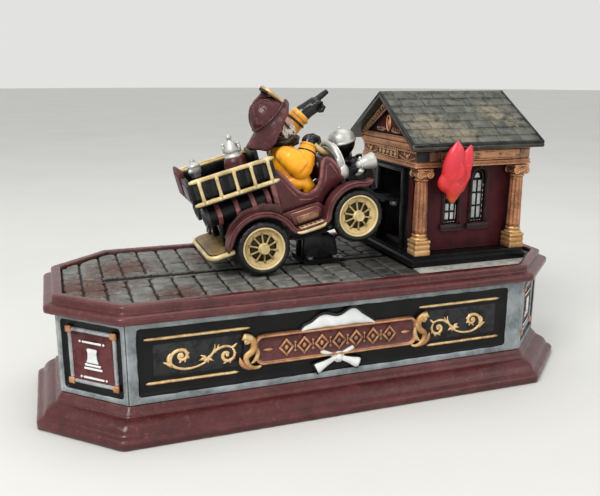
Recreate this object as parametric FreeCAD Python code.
import FreeCAD, Part
import os, math
from FreeCAD import Vector as V

# ---------------------------------------------------------------- driving dimensions (mm)
HX, HY = 120.0, 47.2            # base body half length, half width
CX, CY = 25.7, 24.1             # corner cut along X and along Y
Z_SKIRT = 13.7                  # top of the foot moulding
Z_RIM0, Z_RIM1, Z_LIP = 49.8, 54.0, 57.1
Z_DECK = 55.9                   # top of the paving
WALL = 3.0
GAP = 0.2
BX0, BX1, BCX = 42.0, 105.4, 73.7     # building plinth in X, centre
COLX, COLY, COL_R = 26.5, 26.8, 4.0   # column offset from the centre, and shaft radius
TH = 14.75                      # rest tilt of the truck, degrees nose up
HUB = V(-28.7, 0, 68.8)         # rear hub, world
WB = 47.84                      # wheelbase
R_TYRE, Y_W0, Y_W1 = 12.6, 16.5, 22.5
P1 = V(0, 0, 73.5)              # rocking pin, world
P2 = V(0, 0, 37.5)              # lever pin, world
R_LINK = 8.0                    # crank radius of rod and lever
A_LINK = 12.0                   # crank angle above level at rest
AX = R_LINK * math.cos(math.radians(A_LINK))
AZ = R_LINK * math.sin(math.radians(A_LINK))
A1 = P1 + V(AX, 0, AZ)
A2 = P2 + V(AX, 0, AZ)
R_PIN = 1.5
R_XPIN = 1.2

os.makedirs("parts", exist_ok=True)

# ---------------------------------------------------------------- helpers
def box(x0, x1, y0, y1, z0, z1):
    return Part.makeBox(x1 - x0, y1 - y0, z1 - z0, V(x0, y0, z0))

def cyl(p, d, r, h):
    return Part.makeCylinder(r, h, V(*p), V(*d))

def cone(p, d, r0, r1, h):
    return Part.makeCone(r0, r1, h, V(*p), V(*d))

def wire(pts):
    return Part.makePolygon([V(*q) for q in pts] + [V(*pts[0])])

def prism(pts, axis, a, b):
    """closed outline in the plane across the axis, pushed from a to b"""
    if axis == 'y':
        f = Part.Face(wire([(p[0], a, p[1]) for p in pts]))
        return f.extrude(V(0, b - a, 0))
    if axis == 'x':
        f = Part.Face(wire([(a, p[0], p[1]) for p in pts]))
        return f.extrude(V(b - a, 0, 0))
    f = Part.Face(wire([(p[0], p[1], a) for p in pts]))
    return f.extrude(V(0, 0, b - a))

def octo(d):
    """base plan, grown outward by d; starts front left, runs round by +X"""
    t = math.atan2(CY, CX)
    e1 = d * math.tan(t / 2)                  # shift along a long side
    e2 = d * math.tan((math.pi / 2 - t) / 2)  # shift along a short side
    a, b = HX + d, HY + d
    x1, y1 = HX - CX + e1, HY - CY + e2
    return [(-x1, -b), (x1, -b), (a, -y1), (a, y1), (x1, b), (-x1, b), (-a, y1), (-a, -y1)]

def owire(d, z):
    return wire([(p[0], p[1], z) for p in octo(d)])

def oprism(d, z0, z1):
    return prism(octo(d), 'z', z0, z1)

def arc_pts(cx, cz, r, a0, a1, n):
    return [(cx + r * math.cos(math.radians(a0 + (a1 - a0) * i / n)),
             cz + r * math.sin(math.radians(a0 + (a1 - a0) * i / n))) for i in range(n + 1)]

def sector(cx, cz, r0, r1, a0, a1, y0, y1, n=20):
    return prism(arc_pts(cx, cz, r1, a0, a1, n) + arc_pts(cx, cz, r0, a1, a0, n), 'y', y0, y1)

def fuse(*s):
    r = s[0]
    if len(s) > 1:
        r = r.multiFuse(list(s[1:]))
    return r.removeSplitter()

def mirror_y(s):
    return s.mirror(V(0, 0, 0), V(0, 1, 0))

def T(s):
    """truck design frame (rear hub at the origin, truck level) to world"""
    s = s.copy()
    s.rotate(V(0, 0, 0), V(0, 1, 0), -TH)
    s.translate(HUB)
    return s

def L(p):
    """world point to truck design frame"""
    c, sn = math.cos(math.radians(TH)), math.sin(math.radians(TH))
    dx, dz = p.x - HUB.x, p.z - HUB.z
    return (dx * c + dz * sn, -dx * sn + dz * c)

def capsule(a, b, ra, rb):
    a, b = V(*a), V(*b)
    d = b - a
    s = [Part.makeSphere(ra, a), Part.makeSphere(rb, b)]
    s.append(Part.makeCone(ra, rb, d.Length, a, d) if abs(ra - rb) > 1e-3 else Part.makeCylinder(ra, d.Length, a, d))
    return s[0].multiFuse(s[1:])

def ellipsoid(c, rx, ry, rz):
    s = Part.makeSphere(1.0)
    m = FreeCAD.Matrix()
    m.scale(rx, ry, rz)
    s = s.transformGeometry(m)
    s.translate(V(*c))
    return s

def out(name, s):
    solids = s.Solids
    ok = s.isValid() and all(q.isClosed() and q.Volume > 0 for q in solids) and len(solids) > 0
    if len(solids) == 1:
        s = solids[0]
    s.exportStep("parts/%s.step" % name)
    bb = s.BoundBox
    print("%-18s ok=%s solids=%d vol=%.0f  x %.1f..%.1f y %.1f..%.1f z %.1f..%.1f" %
          (name, ok, len(solids), s.Volume, bb.XMin, bb.XMax, bb.YMin, bb.YMax, bb.ZMin, bb.ZMax))

# ================================================================ base
prof = [(10.8, 0), (10.8, 3.2), (10.0, 4.2), (8.6, 4.6), (7.9, 5.4), (7.2, 7.2), (5.6, 8.8), (3.6, 9.8),
        (2.2, 10.2), (1.9, 11.2), (1.2, 12.0), (0.2, 12.8), (0.0, Z_SKIRT)]
skirt = Part.makeLoft([owire(d, z) for d, z in prof], True, True)
skirt = skirt.cut(oprism(-WALL, -1, Z_SKIRT + 1))
out("base_skirt", skirt)

zp0, zp1 = Z_SKIRT + GAP, Z_RIM0 - GAP
xs = HX - CX                                # where the long side meets the corner cut
fr = box(-xs + 0.3, xs - 0.3, -HY, -HY + WALL, zp0, zp1)
fr = fr.cut(box(-xs + 5.5, xs - 5.5, -HY - 1, -HY + 1.1, zp0 + 4.0, zp1 - 3.6))
# raised ornament standing in the sunk field
orn = []
for x0, x1, z0, z1 in ((-86.9, -42.5, 40.9, 42.2), (38.0, 81.3, 40.9, 42.2), (-86.9, -47.7, 21.5, 22.8), (42.9, 82.3, 21.5, 22.8)):
    orn.append(box(x0, x1, -HY + 0.3, -HY + 1.2, z0, z1))
def scroll(cx, cz, w, h, y0, y1):
    s = [box(cx - w / 2, cx + w / 2, y0, y1, cz - 0.5, cz + 0.5)]
    for k in (-1, 1):
        for f in (0.12, 0.36):
            r = h / 2 * (1.15 - f)
            s.append(cyl((cx + k * w * (0.5 - f * 0.9), y0, cz + k * 1.5), (0, 1, 0), r, y1 - y0))
    return s
orn += scroll(-63.7, 31.4, 24, 8, -HY + 0.3, -HY + 1.2)
orn += scroll(58.9, 30.8, 24, 8, -HY + 0.3, -HY + 1.2)
fr = fuse(fr, *orn)
out("front_panel", fr)

bk = box(-xs + 0.3, xs - 0.3, HY - WALL, HY, zp0, zp1)
bk = bk.cut(box(-xs + 5.5, xs - 5.5, HY - 1.1, HY + 1, zp0 + 4.0, zp1 - 3.6))
SLX0, SLX1, SLZ0, SLZ1 = 21.0, 33.0, 21.5, 44.0      # slot for the finger lever
bk = bk.fuse(box(SLX0 - 3, SLX1 + 3, HY - 1.5, HY, SLZ0 - 3, SLZ1 + 2))
bk = bk.cut(box(SLX0, SLX1, HY - 4, HY + 1, SLZ0, SLZ1)).removeSplitter()
out("back_panel", bk)

ring = oprism(0, zp0, zp1).cut(oprism(-WALL, zp0 - 1, zp1 + 1))
left = ring.common(box(-HX - 1, -xs - 0.0, -HY - 1, HY + 1, zp0 - 1, zp1 + 1))
right = ring.common(box(xs + 0.0, HX + 1, -HY - 1, HY + 1, zp0 - 1, zp1 + 1))
# square tablet recess in each corner facet
t = math.atan2(CY, CX)
clen = math.hypot(CX, CY)
def facet_tool(sx, sy):
    cx, cy = sx * (HX - CX / 2), sy * (HY - CY / 2)
    n = V(sx * math.sin(t), sy * math.cos(t), 0)
    b = Part.makeBox(clen - 9, 2.2, zp1 - zp0 - 8, V(-(clen - 9) / 2, -1.1, zp0 + 4))
    c = Part.makeBox(clen - 13.5, 3.2, zp1 - zp0 - 12.5, V(-(clen - 13.5) / 2, -1.6, zp0 + 6.2))
    b = b.cut(c)
    ang = math.degrees(math.atan2(n.y, n.x)) - 90
    b.rotate(V(0, 0, 0), V(0, 0, 1), ang)
    b.translate(V(cx, cy, 0))
    return b
for sy in (-1, 1):
    left = left.cut(facet_tool(-1, sy))
    right = right.cut(facet_tool(1, sy))
out("left_end", left.removeSplitter())
out("right_end", right.removeSplitter())

# name tablet: blank moulded cartouche on the front
TX = -2.2
cart = prism([(TX + x, z) for x, z in ((-45.4, 30.4), (-43.6, 36.6), (-38.4, 37.8), (38.4, 37.8), (43.6, 36.6), (45.4, 30.4), (43.6, 23.8), (38.4, 24.2), (-38.4, 24.2), (-43.6, 23.8))],
             'y', -HY - 1.2, -HY + 0.9)
cart = cart.cut(prism([(TX + x, z) for x, z in ((-38.0, 31.0), (-36.2, 35.6), (-33.0, 36.7), (33.0, 36.7), (36.2, 35.6), (38.0, 31.0), (36.2, 26.4), (33.0, 25.3), (-33.0, 25.3), (-36.2, 26.4))],
                      'y', -HY - 2.0, -HY - 0.4))
for i in range(9):
    cx = TX - 24 + i * 6.0
    cart = cart.fuse(prism([(cx - 2.2, 31.0), (cx, 34.6), (cx + 2.2, 31.0), (cx, 27.4)], 'y', -HY - 1.0, -HY - 0.3))
hump = prism([(TX - 17.8, 37.5), (TX - 12.0, 41.0), (TX - 6.5, 43.4), (TX + 6.5, 43.4), (TX + 12.0, 41.0), (TX + 17.8, 37.5)], 'y', -HY - 0.9, -HY + 0.9)
horns = [cyl((TX, -HY - 1.6, 22.6), (0, 1, 0), 2.2, 2.5)]
for k in (-1, 1):
    horns.append(prism([(TX - k * 7.0, 26.4), (TX - k * 6.2, 27.6), (TX + k * 10.8, 20.4), (TX + k * 9.4, 17.6), (TX + k * 7.6, 18.0)], 'y', -HY - 1.3, -HY + 0.9))
hump = fuse(hump, *horns)
out("name_tablet", fuse(cart, hump))

# deck casting: rim, lip and paving in one
deck = Part.makeLoft([owire(3.6, Z_RIM0), owire(4.3, Z_RIM0 + 0.7), owire(4.3, Z_RIM0 + 2.6), owire(3.4, Z_RIM1 - 0.5), owire(0.9, Z_RIM1)], True, True)
deck = deck.cut(oprism(-WALL - 0.4, Z_RIM0 - 1, Z_RIM1 - 1.6))
deck = deck.fuse(Part.makeLoft([owire(0.65, Z_RIM1 - 0.1), owire(0.65, Z_LIP - 0.7), owire(-0.2, Z_LIP)], True, True))
deck = deck.cut(oprism(-3.7, Z_RIM1 + 0.2, Z_LIP + 1))
deck = deck.fuse(oprism(-3.6, 52.4, Z_DECK))
TIE = [(sx * 92.0, sy * 33.0) for sx in (-1, 1) for sy in (-1, 1)]
for x, y in TIE:
    deck = deck.fuse(cyl((x, y, 40.0), (0, 0, 1), 4.5, 12.6))
for x, y in TIE:
    deck = deck.cut(cyl((x, y, 39.0), (0, 0, 1), 1.75, 13.0))
HOLE = (60.0, 86.0, -13.0, 13.0)             # coin drop inside the building
deck = deck.cut(box(HOLE[0], HOLE[1], HOLE[2], HOLE[3], 50, 60))
deck = deck.cut(box(3.4, 12.4, -2.8, 2.8, 50, 60))         # rod slot
POST_SC = [(-1.5, -7.6), (-1.5, 7.6), (11.5, -7.6), (11.5, 7.6)]
BR_SC = [(-9.0, -10.5), (-9.0, 10.5)]
BLD_SC = [(52.0, -20.0), (52.0, 20.0), (95.0, -20.0), (95.0, 20.0)]
for x, y in POST_SC + BR_SC + BLD_SC:
    deck = deck.cut(cyl((x, y, 50), (0, 0, 1), 1.2, 10))
# long channel and paving joints
deck = deck.cut(box(-104, 40.0, -7.4, 0.5, Z_DECK - 1.6, Z_DECK + 1))
jt = []
for i in range(1, 9):
    yj = -43.5 + i * 9.67
    if i == 4:
        continue
    jt.append(box(-113, 113, yj - 0.3, yj + 0.3, Z_DECK - 0.7, Z_DECK + 1))
for i in range(9):
    ya, yb = -43.5 + i * 9.67, -43.5 + (i + 1) * 9.67
    for k in range(-8, 9):
        xj = k * 14.5 + (7.25 if i % 2 else 0)
        if abs(xj) < 104:
            jt.append(box(xj - 0.3, xj + 0.3, ya, yb, Z_DECK - 0.7, Z_DECK + 1))
deck = deck.cut(Part.makeCompound(jt)).removeSplitter()
out("deck", deck)

# bottom plate, trap and screws
TRAP_C, TRAP_P = (-30.0, 0.0), (-52.0, 0.0)
SPR = (18.0, 7.05)              # return spring axis
bot = oprism(-WALL - GAP, 2.6, 5.0)
bot = bot.cut(cyl((TRAP_C[0], TRAP_C[1], 0), (0, 0, 1), 14.0, 8))
for x, y in TIE:
    bot = bot.cut(cyl((x, y, 0), (0, 0, 1), 1.75, 8))
bot = bot.cut(cyl((TRAP_P[0], TRAP_P[1], 0), (0, 0, 1), 1.5, 8))
bot = bot.fuse(cyl((SPR[0], SPR[1], 4.0), (0, 0, 1), 1.6, 5.0))
out("bottom_plate", bot)
trap = cyl((TRAP_C[0], TRAP_C[1], 0.9), (0, 0, 1), 16.5, 1.5)
trap = trap.fuse(box(TRAP_P[0], TRAP_C[0], -4.2, 4.2, 0.9, 2.4)).fuse(cyl((TRAP_P[0], TRAP_P[1], 0.9), (0, 0, 1), 4.6, 1.5))
trap = trap.fuse(cyl((TRAP_C[0] + 11, 0, 0.5), (0, 0, 1), 2.5, 0.6))
trap = trap.cut(cyl((TRAP_P[0], TRAP_P[1], 0), (0, 0, 1), 1.55, 4)).removeSplitter()
out("coin_trap", trap)
ts = fuse(cyl((TRAP_P[0], 0, 0.2), (0, 0, 1), 2.9, 0.6), cyl((TRAP_P[0], 0, 0.7), (0, 0, 1), 1.45, 6.2), cyl((TRAP_P[0], 0, 5.2), (0, 0, 1), 2.7, 2.2))
ts = ts.cut(box(TRAP_P[0] - 3, TRAP_P[0] + 3, -0.3, 0.3, 0, 0.45))
out("trap_screw", ts)
tb = []
for x, y in TIE:
    s = fuse(cyl((x, y, 0.4), (0, 0, 1), 3.4, 1.9), cyl((x, y, 2.0), (0, 0, 1), 1.65, 48.0))
    s = s.cut(box(x - 4, x + 4, y - 0.4, y + 0.4, 0, 1.1))
    tb.append(s)
out("tie_bolts", Part.makeCompound(tb))

# ================================================================ building
pz0, pz1 = Z_DECK + GAP, 61.0
pl = fuse(box(BX0, BX1, -31, 31, pz0, 58.4),
          Part.makeLoft([wire([(BX0 + o, -31 + o, z), (BX1 - o, -31 + o, z), (BX1 - o, 31 - o, z), (BX0 + o, 31 - o, z)]) for o, z in ((0.2, 58.3), (1.3, 59.4))], True, True),
          box(BX0 + 1.0, BX1 - 1.0, -30, 30, 59.3, pz1))
pl = pl.cut(box(HOLE[0] - 0.5, HOLE[1] + 0.5, HOLE[2] - 0.5, HOLE[3] + 0.5, 50, 70))
for x, y in BLD_SC:
    pl = pl.cut(cyl((x, y, 50), (0, 0, 1), 1.2, 9))
out("plinth", pl.removeSplitter())

wz0, wz1 = pz1 + GAP, 103.0
WX0, WX1, WY = 45.0, 102.4, 22.2
def arch(cx, z0, z1, hw, axis, a, b):
    """arched opening tool: half width hw, z1 is the crown"""
    pts = [(cx - hw, z0)] + [(cx + hw, z0)] + arc_pts(cx, z1 - hw, hw, 0, 180, 14)
    return prism(pts, axis, a, b)
wf = box(WX0, WX0 + 3, -18.9, 18.9, wz0, wz1)
wf = wf.fuse(box(WX0 - 0.9, WX0 + 1, -14.4, 14.4, wz0, 101.4))
wf = wf.cut(box(WX0 - 5, WX0 + 6, -12.5, 12.5, wz0 - 1, 99.2)).removeSplitter()
out("wall_front", wf)
wb = box(WX1 - 3, WX1, -18.9, 18.9, wz0, wz1)
for yy in (-8.5, 8.5):
    wb = wb.cut(arch(yy, 74.0, 98.0, 3.6, 'x', WX1 - 1.2, WX1 + 1))
out("wall_back", wb.removeSplitter())
WIN = [(66.6, 3.75), (81.6, 3.75)]
def side_wall():
    w = box(WX0, WX1, -WY, -WY + 3, wz0, wz1)
    for cx, hw in WIN:
        w = w.fuse(arch(cx, 72.0, 102.3, hw + 1.5, 'y', -WY - 0.7, -WY + 1))
        w = w.fuse(box(cx - hw - 2.4, cx + hw + 2.4, -WY - 1.7, -WY + 1, 71.4, 73.9))
        w = w.cut(arch(cx, 74.0, 100.6, hw, 'y', -WY - 3, -WY + 4))
    return w.removeSplitter()
sw = side_wall()
out("wall_near", sw)
out("wall_far", mirror_y(sw))
def window(cx, hw, ztop):
    g = 0.15
    if ztop > 100:
        o = arch(cx, 74.0 + g, 100.6 - g, hw - g, 'y', -WY + 1.0, -WY + 2.4)
    else:
        o = box(cx - hw + g, cx + hw - g, -WY + 1.0, -WY + 2.4, 74.0 + g, ztop)
    nz = 3
    zt = min(ztop, 96.0)
    for i in range(2):
        for k in range(nz):
            x0 = cx - hw + 0.9 + i * (hw - 0.45)
            z0 = 75.0 + k * (zt - 75.5) / nz
            o = o.cut(box(x0, x0 + hw - 1.35, -WY + 0.5, -WY + 1.6, z0, z0 + (zt - 75.5) / nz - 0.9))
    return o
wn = [window(WIN[0][0], WIN[0][1], 84.8), window(WIN[1][0], WIN[1][1], 101)]
wfar = [mirror_y(window(c, h, 101)) for c, h in WIN]
out("windows", Part.makeCompound(wn + wfar))

def column(x, y):
    p = [box(x - 4.1, x + 4.1, y - 4.1, y + 4.1, pz1 + GAP, 66.4), box(x - 3.7, x + 3.7, y - 3.7, y + 3.7, 66.3, 67.0),
         box(x - 4.1, x + 4.1, y - 4.1, y + 4.1, 66.9, 68.6)]
    pr = [(0, 68.5), (4.1, 68.5), (4.1, 69.6), (3.3, 70.2), (3.7, 71.0), (3.2, 71.8), (3.15, 72.2), (2.9, 97.0), (3.4, 97.5), (3.4, 98.1), (2.9, 98.5), (3.6, 100.0), (0, 100.0)]
    f = Part.Face(Part.makePolygon([V(x + a, y, z) for a, z in pr] + [V(x + pr[0][0], y, pr[0][1])]))
    s = f.revolve(V(x, y, 0), V(0, 0, 1), 360)
    fl = []
    for i in range(12):
        a = math.radians(i * 30 + 15)
        fl.append(cyl((x + 3.35 * math.cos(a), y + 3.35 * math.sin(a), 73.0), (0, 0, 1), 0.55, 23.4))
    s = s.cut(Part.makeCompound(fl))
    cap = [box(x - 4.1, x + 4.1, y - 4.1, y + 4.1, 101.6, 102.9), box(x - 3.4, x + 3.4, y - 3.4, y + 3.4, 99.4, 101.7)]
    for sx in (-1, 1):
        cap.append(cyl((x + sx * 2.8, y - 3.9, 100.0), (0, 1, 0), 1.5, 7.8))
    return fuse(s, *(p + cap))
cols = [column(BCX + sx * COLX, sy * COLY) for sx in (-1, 1) for sy in (-1, 1)]
out("columns", Part.makeCompound(cols))

ez0, ez1 = 103.2, 114.0
en = fuse(box(41.9, 105.5, -30.0, 30.0, ez0, 105.6), box(42.7, 104.7, -29.2, 29.2, 105.5, 111.2), box(41.4, 106.0, -30.6, 30.6, 111.1, ez1))
en = en.cut(box(46.5, 101.0, -25.0, 25.0, 100, 112.0))
out("entablature", en.removeSplitter())

RX0, RX1, RY, RZ = 36.5, 107.2, 37.2, 137.3
SL = math.tan(math.radians(31.5))
RT = 2.6
rz = lambda y: RZ - abs(y) * SL
ro = prism([(-RY, rz(RY)), (0, RZ), (RY, rz(RY)), (RY, rz(RY) - RT + 0.4), (RY - 0.5, rz(RY) - RT - 0.1), (0, RZ - RT - 0.2), (-RY + 0.5, rz(RY) - RT - 0.1), (-RY, rz(RY) - RT + 0.4)], 'x', RX0, RX1)
cut = []
for sgn in (-1, 1):
    for k in range(1, 8):
        yy = sgn * (k * 4.7 + 0.6)
        cut.append(prism([(yy - 0.22, rz(yy) + 1), (yy + 0.22, rz(yy) + 1), (yy + 0.22, rz(yy) - 0.45), (yy - 0.22, rz(yy) - 0.45)], 'x', RX0 - 1, RX1 + 1))
ro = ro.cut(Part.makeCompound(cut))
ro = fuse(ro, prism([(-1.9, RZ - 1.35), (0, RZ + 0.0), (1.9, RZ - 1.35), (1.6, RZ - 2.4), (-1.6, RZ - 2.4)], 'x', RX0, RX1))
out("roof", ro)
def gable(x0, x1, xo):
    zt = RZ - RT - 0.4
    yb = (zt - (ez1 + GAP)) / SL
    yb = min(yb, 30.4)
    pts = [(-yb, ez1 + GAP), (yb, ez1 + GAP), (yb, zt - yb * SL), (0, zt), (-yb, zt - yb * SL)]
    g = prism(pts, 'x', x0, x1)
    ins = [(-yb + 6.0, ez1 + 2.2), (yb - 6.0, ez1 + 2.2), (0, zt - 4.6)]
    lo, hi = (x0 - 1, x0 + 1.2) if xo < 0 else (x1 - 1.2, x1 + 1)
    g = g.cut(prism(ins, 'x', lo, hi))
    xc0, xc1 = (x0 + 0.5, x0 + 1.4) if xo < 0 else (x1 - 1.4, x1 - 0.5)
    rg = prism([(1.9 * math.cos(a * math.pi / 12), 122.3 + 3.9 * math.sin(a * math.pi / 12)) for a in range(24)], 'x', xc0, xc1)
    rg = rg.cut(prism([(1.1 * math.cos(a * math.pi / 12), 122.3 + 3.0 * math.sin(a * math.pi / 12)) for a in range(24)], 'x', xc0 - 1, xc1 + 1))
    return g.fuse(rg)
out("gables", Part.makeCompound([gable(41.6, 45.0, -1), gable(101.2, 104.6, 1)]))

# flame out of the near front window
side = [(-19.6, 86.0), (-24.5, 86.2), (-31.5, 89.5), (-37.0, 96.0), (-40.0, 104.5), (-40.8, 116.5),
        (-38.9, 116.5), (-37.9, 107.0), (-35.0, 101.0), (-30.0, 96.8), (-25.0, 95.2), (-19.6, 95.0)]
fo = [(63.2, 84), (70.0, 84), (70.0, 93), (68.2, 99), (68.4, 105), (66.2, 108), (66.4, 111), (64.3, 114.4), (63.0, 112.2), (62.0, 107.5), (60.6, 110.0),
      (59.0, 112.4), (57.2, 116.2), (56.0, 112.0), (53.6, 110.0), (53.8, 106.5), (51.2, 105.0), (51.6, 101.5), (49.4, 99.4), (52.6, 95.6), (55.0, 91.2), (59.5, 88.2)]
fl = prism(side, 'x', 45, 75).common(prism(fo, 'y', -45, -15))
fl = fl.cut(fuse(box(45, 62.99, -WY - 0.9, -10, 80, 120), box(70.21, 80, -WY - 0.9, -10, 80, 120)))
out("flame", fl)

ch = prism([(49.0, 61.5), (50.2, 61.5), (59.0, 57.4), (59.0, 56.2), (58.2, 56.2), (58.2, 56.9), (49.0, 61.3)], 'y', -12.0, 12.0)
ch = prism([(48.4, 63.6), (48.4, 61.3), (59.0, 61.3), (59.3, 61.9)], 'y', -18.5, 18.5)
ch = fuse(ch, prism([(99.0, 80.0), (99.0, 61.3), (87.0, 61.3), (87.0, 62.0), (97.6, 80.0)], 'y', -18.5, 18.5),
          box(58.9, 87.1, -18.5, -14.0, 61.3, 62.0), box(58.9, 87.1, 14.0, 18.5, 61.3, 62.0))
out("coin_chute", ch)

sc = []
for x, y in POST_SC:
    sc.append(fuse(cyl((x, y, 58.2), (0, 0, 1), 1.9, 1.2), cyl((x, y, 50.6), (0, 0, 1), 1.1, 7.8), Part.makeCylinder(2.2, 1.6, V(x, y, 50.6))))
for x, y in BLD_SC:
    sc.append(fuse(cyl((x, y, 50.6), (0, 0, 1), 2.2, 1.6), cyl((x, y, 51.0), (0, 0, 1), 1.1, 7.6)))
for x, y in BR_SC:
    sc.append(fuse(cyl((x, y, 48.0), (0, 0, 1), 2.0, 1.2), cyl((x, y, 49.0), (0, 0, 1), 1.1, 6.0)))
out("deck_screws", Part.makeCompound(sc))

# ================================================================ rocking mechanism
zc = Z_DECK + GAP
def cheek(y0, y1):
    pts = [(-2.6, zc), (14.4, zc), (9.4, 68.6), (5.2, 69.3)] + arc_pts(P1.x, P1.z, 4.2, -20, 200, 14) + [(-3.0, 69.0)]
    return prism(pts, 'y', y0, y1)
post = fuse(cheek(-5.6, -2.2), cheek(2.2, 5.6), box(-2.6, 2.6, -2.4, 2.4, zc, 68.0), box(-5.0, 15.6, -9.8, 9.8, zc, 58.0))
post = post.cut(box(3.4, 12.4, -2.2, 2.2, 50, 60)).cut(cyl((P1.x, -10, P1.z), (0, 1, 0), R_PIN + 0.03, 20))
for x, y in POST_SC:
    post = post.cut(cyl((x, y, 50), (0, 0, 1), 1.2, 10))
out("truck_post", post.removeSplitter())
out("pivot_pin", fuse(cyl((P1.x, -9.6, P1.z), (0, 1, 0), R_PIN, 19.2), cyl((P1.x, -10.6, P1.z), (0, 1, 0), 2.3, 1.2), cyl((P1.x, 9.4, P1.z), (0, 1, 0), 2.3, 1.2)))
rod = fuse(cyl((A1.x, -1.5, A1.z), (0, 1, 0), 2.6, 3.0), cyl((A2.x, -1.5, A2.z), (0, 1, 0), 2.8, 3.0), box(A1.x - 1.7, A1.x + 1.7, -1.5, 1.5, A2.z, A1.z))
rod = rod.cut(cyl((A1.x, -3, A1.z), (0, 1, 0), R_XPIN + 0.05, 6)).cut(cyl((A2.x, -3, A2.z), (0, 1, 0), R_XPIN + 0.05, 6)).removeSplitter()
out("connecting_rod", rod)
out("rod_pin", fuse(cyl((A1.x, -9.4, A1.z), (0, 1, 0), R_XPIN, 18.8), cyl((A1.x, -10.2, A1.z), (0, 1, 0), 1.9, 1.0), cyl((A1.x, 9.2, A1.z), (0, 1, 0), 1.9, 1.0)))

lev = cyl((P2.x, -8.8, P2.z), (0, 1, 0), 3.3, 17.6)
arm = prism([(-3.0, 35.4), (AX + 2.6, 37.6), (AX + 2.6, 41.2), (-2.0, 40.2)], 'y', 2.1, 4.9)
stub = cyl((A2.x, -2.6, A2.z), (0, 1, 0), R_XPIN, 5.6)
stub = stub.fuse(cyl((A2.x, -3.2, A2.z), (0, 1, 0), 1.9, 1.0))
bar = prism([(-2.0, 35.2), (22.6, 35.8), (30.0, 36.4), (30.0, 39.6), (22.6, 40.0), (-2.0, 39.8)], 'y', 5.3, 8.8)
out_arm = prism([(24.6, 36.2), (29.8, 36.4), (29.8, 39.4), (24.6, 39.8)], 'y', 8.7, 52.0)
tab = prism([(20.4, 36.6), (34.0, 35.4), (34.6, 37.0), (33.8, 39.2), (20.6, 40.2), (20.0, 38.4)], 'y', 49.4, 57.2)
spig = cyl((SPR[0], SPR[1], 33.2), (0, 0, 1), 1.6, 3.0)
lev = fuse(lev, arm, stub, bar, out_arm, tab, spig).cut(cyl((P2.x, -12, P2.z), (0, 1, 0), R_PIN + 0.05, 24))
out("lever", lev.removeSplitter())
br = fuse(box(-13.0, 3.0, -13.2, 13.2, 49.4, 52.2),
          *[prism([(-6.0, 49.6), (3.0, 49.6)] + arc_pts(P2.x, P2.z, 3.6, 10, -190, 14), 'y', y0, y0 + 2.6) for y0 in (-11.9, 9.3)])
br = br.cut(cyl((P2.x, -16, P2.z), (0, 1, 0), R_PIN + 0.03, 32))
for x, y in BR_SC:
    br = br.cut(cyl((x, y, 40), (0, 0, 1), 1.2, 14))
for y in (-7.6, 7.6):
    br = br.cut(cyl((-1.5, y, 48), (0, 0, 1), 2.4, 6))
out("lever_bracket", br.removeSplitter())
out("lever_pin", fuse(cyl((P2.x, -12.2, P2.z), (0, 1, 0), R_PIN, 24.4), cyl((P2.x, -13.2, P2.z), (0, 1, 0), 2.3, 1.2), cyl((P2.x, 12.0, P2.z), (0, 1, 0), 2.3, 1.2)))
# coil spring standing between the bottom plate and the lever bar
hel = Part.makeHelix(2.1, 29.4, 2.6)
hel.translate(V(SPR[0], SPR[1], 5.7))
cw = Part.Wire([Part.makeCircle(0.45, V(SPR[0] + 2.6, SPR[1], 5.7), V(0, 1, 0))])
out("return_spring", Part.Wire(hel.Edges).makePipeShell([cw], True, True))

# ================================================================ truck (design frame, level)
p1, a1 = L(P1), L(A1)
ch = [box(-14.0, 60.0, -14.6, 14.6, 2.0, 4.0)]
rail = [(-10, 2.1), (58, 2.1), (58, -2.6), (43, -3.4), (a1[0] + 2.2, a1[1] - 3.2), (p1[0] - 3.0, p1[1] - 3.4), (18, -3.4), (6, -3.0), (-10, -3.0)]
for y0 in (-8.8, 6.3):
    ch.append(prism(rail, 'y', y0, y0 + 2.5))
ch.append(prism([(-23.6, -19.0), (-24.6, -16.0), (-24.6, 16.0), (-23.6, 19.0), (-21.6, 20.6), (-13.4, 20.6), (-13.4, 15.9), (-12, 14.6), (-12, -14.6), (-13.4, -15.9), (-13.4, -20.6), (-21.6, -20.6)], 'z', 1.4, 3.6))
ch = fuse(*ch)
for u, w in ((0, 0), (WB, 0)):
    ch = ch.cut(cyl((u, -12, w), (0, 1, 0), R_XPIN + 0.02, 24))
ch = ch.cut(cyl((p1[0], -12, p1[1]), (0, 1, 0), R_PIN + 0.05, 24)).cut(cyl((a1[0], -12, a1[1]), (0, 1, 0), R_XPIN + 0.02, 24))
out("chassis", T(ch.removeSplitter()))

def fender(y0, y1, yi):
    s = [sector(0, 0, 14.2, 17.0, 10, 168, y0, y1, 26),
         box(15.6, 33.4, y0, y1, 1.4, 3.2),
         sector(WB, 0, 14.0, 16.2, 62, 172, y0, y1, 20),
         prism([(53.6, 14.0), (57.6, 18.6), (56.4, 19.4), (51.8, 15.8)], 'y', y0, y1),
         prism([(15.6, 3.1), (33.2, 3.1), (34.2, 8.6), (31.5, 11.6), (13.4, 11.6), (14.2, 8.0)], 'y', yi, yi + 2.0)]
    r = fuse(*s)
    r = r.cut(box(-20, -17.3, -40, 0, -10, 30))
    return r
fn = fender(-23.0, -16.1, -17.9)
inner = prism([(15.2, 3.1), (33.2, 3.1), (34.2, 8.6), (31.5, 11.4), (13.6, 11.4)], 'y', -16.2, -15.2)
inner2 = prism(arc_pts(WB, 0, 16.2, 70, 150, 10) + arc_pts(WB, 0, 14.0, 150, 70, 10), 'y', -16.2, -12.0)
fn = fuse(fn, inner, inner2)
fn = fn.cut(box(-26.0, -11.7, -20.8, -10.0, 0.0, 3.8))
out("fender_near", T(fn))
out("fender_far", T(mirror_y(fn)))

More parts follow.
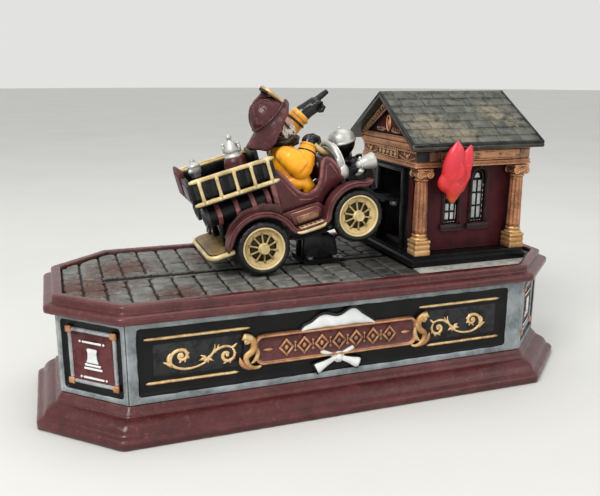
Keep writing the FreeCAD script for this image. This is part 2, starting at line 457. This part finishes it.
sidep = [(12.0, 4.2), (46.6, 4.2), (47.4, 12.4), (47.4, 17.5), (44.8, 26.0), (41.8, 30.0), (39.0, 29.0), (36.2, 22.0), (32.4, 17.2), (26.0, 16.6), (19.2, 27.5), (15.6, 32.4), (12.0, 33.0)]
arcut = Part.makeCylinder(16.6, 60, V(WB, -30, 0), V(0, 1, 0))
body = [prism(sidep, 'y', -15.0, -12.4), prism(sidep, 'y', 12.4, 15.0), box(12.0, 14.4, -15, 15, 4.2, 33.0), box(42.6, 45.0, -12.5, 12.5, 4.2, 28.0),
        box(14.3, 26.0, -12.5, 12.5, 4.2, 16.0)]
body = fuse(*body).cut(arcut.common(box(30, 60, -16, -11.7, -5, 30))).cut(arcut.common(box(30, 60, 11.7, 16, -5, 30)))
body = body.cut(Part.makeCylinder(17.3, 60, V(0, -30, 0), V(0, 1, 0)).common(fuse(box(5, 20, -16, -15.01, -5, 30), box(5, 20, 15.01, 16, -5, 30))))
out("cab_body", T(body.removeSplitter()))

def arch_poly(hw, z0, zt, n=16):
    return [(-hw, z0), (hw, z0)] + [(hw * math.cos(math.pi * i / n), (zt - hw * 0.75) + hw * 0.75 * math.sin(math.pi * i / n)) for i in range(n + 1)]
hood = prism(arch_poly(11.3, 4.2, 22.5), 'x', 50.4, 61.4)
hood = hood.cut(box(49, 59.5, -9.3, 9.3, 4.0, 14.0))
hood = hood.fuse(cyl((56.0, 0, 21.0), (0, 0, 1), 2.0, 3.0))
hood = hood.cut(box(59.9, 62.0, -10.7, 10.7, 0.0, 6.1))
out("hood", T(hood.removeSplitter()))
cb = prism(arch_poly(13.6, 17.2, 34.0), 'x', 47.8, 50.1)
cb2 = prism(arch_poly(12.4, 17.2, 32.0), 'x', 46.0, 48.0).cut(prism(arch_poly(10.8, 16.0, 30.0), 'x', 45, 47.8))
cb = fuse(cb, prism(arch_poly(12.6, 17.2, 33.0), 'x', 50.0, 50.3))
cb = fuse(cb, prism([(-9.2, 4.2), (9.2, 4.2), (9.2, 17.4), (-9.2, 17.4)], 'x', 47.8, 50.3))
cb = cb.cut(cyl((56.0, 0, 23.6), (0, 0, 1), 7.3, 20))
out("cowl", T(cb.removeSplitter()))
rad = fuse(box(61.6, 64.6, -9.6, 9.6, 6.4, 20.6), cyl((63.1, 0, 20.4), (0, 0, 1), 1.6, 2.6))
gr = []
for i in range(9):
    y0 = -7.6 + i * 1.75
    gr.append(box(63.7, 65, y0, y0 + 1.0, 8.2, 18.6))
rad = rad.cut(Part.makeCompound(gr))
out("radiator", T(rad.removeSplitter()))
tr = [prism([(60.2, 3.9), (60.2, 2.2), (74.6, -3.6), (74.9, -2.1)], 'y', -10.4, 10.4)]
for y0 in (-10.4, 9.2):
    tr.append(prism([(60.2, 5.8), (60.2, 2.2), (74.6, -3.6), (74.9, -0.2)], 'y', y0, y0 + 1.2))
for y0 in (-6.0, 6.0):
    tr.append(Part.makeSphere(1.9, V(73.6, y0, -4.4)))
out("coin_tray", T(fuse(*tr)))
# bell: dome over bowl on a stem
pr = [(0, 24.2), (2.4, 24.2), (3.6, 25.0), (5.6, 27.6), (6.3, 30.6), (7.1, 31.2), (7.1, 32.0), (6.6, 34.4), (5.2, 36.6), (3.0, 38.1), (0, 38.6)]
f = Part.Face(Part.makePolygon([V(56.0 + a, 0, z) for a, z in pr] + [V(56.0, 0, 24.2)]))
out("bell", T(f.revolve(V(56.0, 0, 0), V(0, 0, 1), 360)))
def lamp(y):
    pr = [(57.6, 0), (57.9, 1.4), (59.4, 2.0), (63.6, 3.4), (66.4, 3.9), (67.0, 3.7), (67.0, 0)]
    f = Part.Face(Part.makePolygon([V(a, y, 22.9 + r) for a, r in pr] + [V(pr[0][0], y, 22.9)]))
    return fuse(f.revolve(V(60, y, 22.9), V(1, 0, 0), 360), box(59.2, 61.6, y - 1.0, y + 1.0, 16.9, 22.0), box(56.0, 61.6, y - 1.0, y + 1.0, 19.4, 20.8),
                box(59.6, 61.2, min(y, 11.0 * y / abs(y)), max(y, 11.0 * y / abs(y)), 16.9, 18.4))
lamps = [lamp(-15.0), lamp(15.0)]
lamps = [q.cut(prism(arch_poly(11.5, 4.2, 22.7), 'x', 49, 61.6)) for q in lamps]
lamps = [max(q.Solids, key=lambda s_: s_.Volume) for q in lamps]
out("headlamps", T(Part.makeCompound(lamps)))
# steering wheel and column
sw_c, sw_n = V(40.4, -1.0, 33.0), V(-0.64, 0, 0.77)
stw = Part.makeTorus(5.4, 0.75, sw_c, sw_n)
stw = fuse(stw, Part.makeCylinder(1.3, 1.3, sw_c - sw_n * 0.7, sw_n))
for k in range(4):
    d = V(0, 1, 0) * math.cos(math.pi / 2 * k + 0.4) + sw_n.cross(V(0, 1, 0)) * math.sin(math.pi / 2 * k + 0.4)
    stw = stw.fuse(Part.makeCylinder(0.5, 5.4, sw_c, d))
colm = Part.makeCylinder(0.9, 11.0, sw_c - sw_n * 0.3, sw_n * -1)
stw = fuse(stw, colm).cut(box(42.4, 60, -20, 20, 0, 28.2))
stw = max(stw.Solids, key=lambda s_: s_.Volume)
out("steering_wheel", T(stw))

LU0, LU1, LW0, LW1 = -24.0, 15.6, 26.9, 39.2
def ladder(y0, y1):
    s = [box(LU0, LU1, y0, y1, LW0, LW0 + 1.9), box(LU0, LU1, y0, y1, LW1 - 1.9, LW1)]
    for i in range(5):
        u = -19.6 + i * 8.0
        s.append(box(u - 0.8, u + 0.8, y0 + 0.1, y1 - 0.1, LW0 + 0.5, LW1 - 0.5))
    for u in (-15.6, 8.4):
        s.append(box(u - 0.9, u + 0.9, y1 - 0.1, y1 + 1.0, LW0 + 0.3, LW0 + 1.7))
    return fuse(*s)
ld = ladder(-20.6, -18.9)
out("ladder_near", T(ld))
out("ladder_far", T(mirror_y(ld)))

def tank(y):
    s = [cyl((-19.0, y, 19.5), (1, 0, 0), 5.1, 30.4), cyl((-20.4, y, 19.5), (1, 0, 0), 5.6, 2.0), cyl((-20.9, y, 19.5), (1, 0, 0), 3.2, 1.0)]
    for u in (-15.2, -6.6, 1.2, 8.4):
        s.append(cyl((u, y, 19.5), (1, 0, 0), 5.7, 2.3))
    for u in (-14.4, 8.6):
        s.append(box(u - 1.0, u + 1.0, y - 1.6, y + 1.6, 4.2, 15.0))
    return fuse(*s)
tk = tank(-10.2)
out("tank_near", T(tk))
out("tank_far", T(mirror_y(tk)))

bed = [box(-22.4, 11.6, -17.6, 17.6, 25.6, 27.2), box(-22.4, 11.6, -17.6, -15.8, 25.6, 38.2), box(-22.4, 11.6, 15.8, 17.6, 25.6, 38.2),
       box(-24.2, -22.3, -17.6, 17.6, 27.6, 41.2), box(9.8, 11.7, -9.0, 9.0, 27.0, 41.8),
       box(10.4, 11.7, -15.8, 15.8, 27.0, 33.0),
       cyl((-16.8, 0, 27.0), (0, 0, 1), 2.3, 13.8), cyl((-16.8, 0, 38.6), (0, 0, 1), 2.9, 4.2), cone((-16.8, 0, 42.8), (0, 0, 1), 2.9, 0.8, 2.2)]
bed = fuse(*bed)
bed = bed.cut(Part.makeCompound([cyl((-30, s * 10.2, 19.5), (1, 0, 0), 5.9, 50) for s in (-1, 1)]))
out("hose_bed", T(bed.removeSplitter()))
pr = [(0, 27.4), (6.4, 27.4), (6.4, 36.5), (6.0, 38.0), (4.6, 41.0), (4.2, 42.2), (4.5, 42.8), (4.3, 44.0), (3.2, 46.4), (1.5, 47.8), (1.0, 48.4), (1.2, 49.2), (0.5, 50.6), (0, 51.0)]
f = Part.Face(Part.makePolygon([V(2.4 + a, 0, z) for a, z in pr] + [V(2.4, 0, 27.4)]))
out("boiler", T(f.revolve(V(2.4, 0, 0), V(0, 0, 1), 360)))

ax = []
for u in (0, WB):
    ax.append(fuse(cyl((u, -23.0, 0), (0, 1, 0), R_XPIN, 46.0), cyl((u, -23.8, 0), (0, 1, 0), 2.1, 1.0), cyl((u, 22.8, 0), (0, 1, 0), 2.1, 1.0),
                   cyl((u, -16.2, 0), (0, 1, 0), 1.9, 7.0), cyl((u, 9.2, 0), (0, 1, 0), 1.9, 7.0)))
out("axles", T(Part.makeCompound(ax)))
def wheel(u, sy):
    t0, t1 = Y_W0, Y_W1
    pr = [(9.4, t0), (11.4, t0), (12.3, t0 + 0.8), (12.6, t0 + 2.0), (12.6, t1 - 2.0), (12.3, t1 - 0.8), (11.4, t1 - 0.2), (10.7, t1), (10.0, t1 - 0.3), (9.4, t1 - 2.6), (9.0, t1 - 3.2), (9.0, t0 + 1.2)]
    f = Part.Face(Part.makePolygon([V(r, y, 0) for r, y in pr] + [V(pr[0][0], pr[0][1], 0)]))
    s = [f.revolve(V(0, 0, 0), V(0, 1, 0), 360), cyl((0, t0 + 0.1, 0), (0, 1, 0), 2.5, t1 - t0 - 0.1)]
    for k in range(12):
        a = k * 30.0
        sp_ = prism([(1.9, t1 - 1.6), (9.6, t1 - 4.0), (9.6, t1 - 4.8), (1.9, t1 - 3.4)], 'z', -0.45, 0.45)
        sp_.rotate(V(0, 0, 0), V(0, 1, 0), a)
        s.append(sp_)
    w = fuse(*s).cut(cyl((0, t0 - 2, 0), (0, 1, 0), R_XPIN + 0.06, 12))
    if sy < 0:
        w = mirror_y(w)
    w.translate(V(u, 0, 0))
    return w.removeSplitter()
for nm, u, sy in (("wheel_rear_near", 0, -1), ("wheel_rear_far", 0, 1), ("wheel_front_near", WB, -1), ("wheel_front_far", WB, 1)):
    out(nm, T(wheel(u, sy)))

# ================================================================ driver
tor = [ellipsoid((25.2, 0, 31.0), 7.0, 7.6, 10.0), ellipsoid((24.0, 0, 21.5), 6.6, 8.6, 5.2),
       capsule((23.0, -6.0, 20.6), (31.4, -7.4, 22.0), 3.9, 3.4), capsule((23.0, 6.0, 20.6), (31.4, 7.4, 22.0), 3.9, 3.4),
       capsule((31.4, -7.4, 21.6), (30.6, -7.6, 13.0), 3.3, 2.2), capsule((31.4, 7.4, 21.6), (30.6, 7.6, 13.0), 3.3, 2.2),
       capsule((30.6, -7.6, 8.0), (30.6, -7.6, 12.0), 2.6, 2.3), capsule((30.6, 7.6, 8.0), (30.6, 7.6, 12.0), 2.6, 2.3),
       capsule((30.8, -7.6, 6.8), (34.6, -7.6, 6.6), 2.3, 2.1), capsule((30.8, 7.6, 6.8), (34.6, 7.6, 6.6), 2.3, 2.1)]
tor = fuse(*tor).cut(fuse(box(10, 26.2, -15, 15, 0, 16.2), box(20, 50, -15, 15, 0, 4.2)))
HEAD_C = (25.2, 0.2, 46.8)
col = fuse(tor, cyl((25.0, 0, 36.5), (0.08, 0, 1), 4.0, 6.0))
head = fuse(ellipsoid(HEAD_C, 5.4, 4.8, 6.2), capsule((25.0, 0, 41.2), (24.8, 0, 43.0), 3.0, 3.0), ellipsoid((30.6, 0.2, 46.2), 1.1, 0.8, 1.3))
head = head.cut(box(10, 40, -20, 20, 30, 42.4 + 0.1))
nk = fuse(tor, cyl((25.0, 0, 36.5), (0, 0, 1), 4.2, 5.7))
AS_SH, AS_EL, AS_WR = (23.6, -8.6, 36.2), (33.4, -11.2, 29.6), (36.4, -8.2, 36.8)
AR_SH, AR_EL, AR_WR = (26.6, 8.2, 37.4), (34.0, 10.2, 42.6), (44.6, 8.6, 49.4)
armS = fuse(capsule(AS_SH, AS_EL, 4.4, 3.8), capsule(AS_EL, AS_WR, 3.7, 3.2), ellipsoid((38.2, -5.6, 38.9), 3.4, 2.8, 2.3))
armR = fuse(capsule(AR_SH, AR_EL, 4.3, 4.3), capsule(AR_EL, AR_WR, 4.3, 4.8), capsule(AR_WR, (49.6, 8.0, 51.4), 4.0, 3.3), capsule((50.6, 7.8, 53.0), (57.2, 7.6, 55.8), 1.7, 1.3))
nk = nk.cut(fuse(capsule(AS_SH, AS_EL, 4.4, 3.8), capsule(AR_SH, AR_EL, 4.4, 3.9)))
nk = max(nk.Solids, key=lambda s_: s_.Volume)
body_grow = body
nk = nk.cut(fuse(box(10, 14.6, -15.2, 15.2, 4, 33.2), prism(sidep, 'y', -15.2, -12.2), prism(sidep, 'y', 12.2, 15.2), box(42.4, 45.2, -13, 13, 4, 28.2)))
nk = max(nk.Solids, key=lambda s_: s_.Volume)
out("driver_body", T(nk))
# helmet: dome, flared brim, neck flap and crest; tipped back with the head
hel0 = ellipsoid((0, 0, 0), 10.2, 8.6, 10.8).cut(box(-20, 20, -20, 20, -20, 0))
pr = [(-14.6, 0), (-12.4, -5.2), (-6, -9.2), (2, -9.8), (7.5, -8.6), (10.6, -4.6), (11.4, 0), (10.6, 4.6), (7.5, 8.6), (2, 9.8), (-6, 9.2), (-12.4, 5.2)]
brim = prism(pr, 'z', -1.3, 0.2)
flap = ellipsoid((-2.5, 0, 0), 9.6, 8.0, 7.6).cut(box(-20, 20, -20, 20, -0.2, 20)).cut(box(3.6, 20, -20, 20, -20, 20))
hel0 = fuse(hel0, brim, flap)
hel0 = hel0.cut(ellipsoid((1.2, 0, -1.6), 6.0, 5.5, 7.4)).cut(box(-2.0, 20, -5.0, 5.0, -12, -1.31))
shield = prism([(9.4, 2.6), (11.0, 3.4), (7.6, 16.8), (5.0, 17.6), (5.4, 15.8)], 'y', -4.0, 4.0)
comb = prism([(-7.6, 6.6), (0.0, 10.4), (6.8, 7.6), (7.8, 11.0), (5.6, 13.4), (0.0, 12.0), (-8.4, 8.2)], 'y', -0.7, 0.7)
hel0 = fuse(hel0, shield, comb)
hel0.rotate(V(0, 0, 0), V(0, 1, 0), -13)
hel0.translate(V(23.0, 0.2, 49.8))
hel0 = hel0.cut(fuse(nk, armR, armS))
hel0 = max(hel0.Solids, key=lambda s_: s_.Volume)
head = head.cut(nk).cut(hel0)
head = max(head.Solids, key=lambda s_: s_.Volume)
out("driver_head", T(head))
out("driver_helmet", T(hel0))
armS = armS.cut(stw)
armS = max(armS.Solids, key=lambda s_: s_.Volume)
out("arm_steering", T(armS))
out("arm_pointing", T(armR))
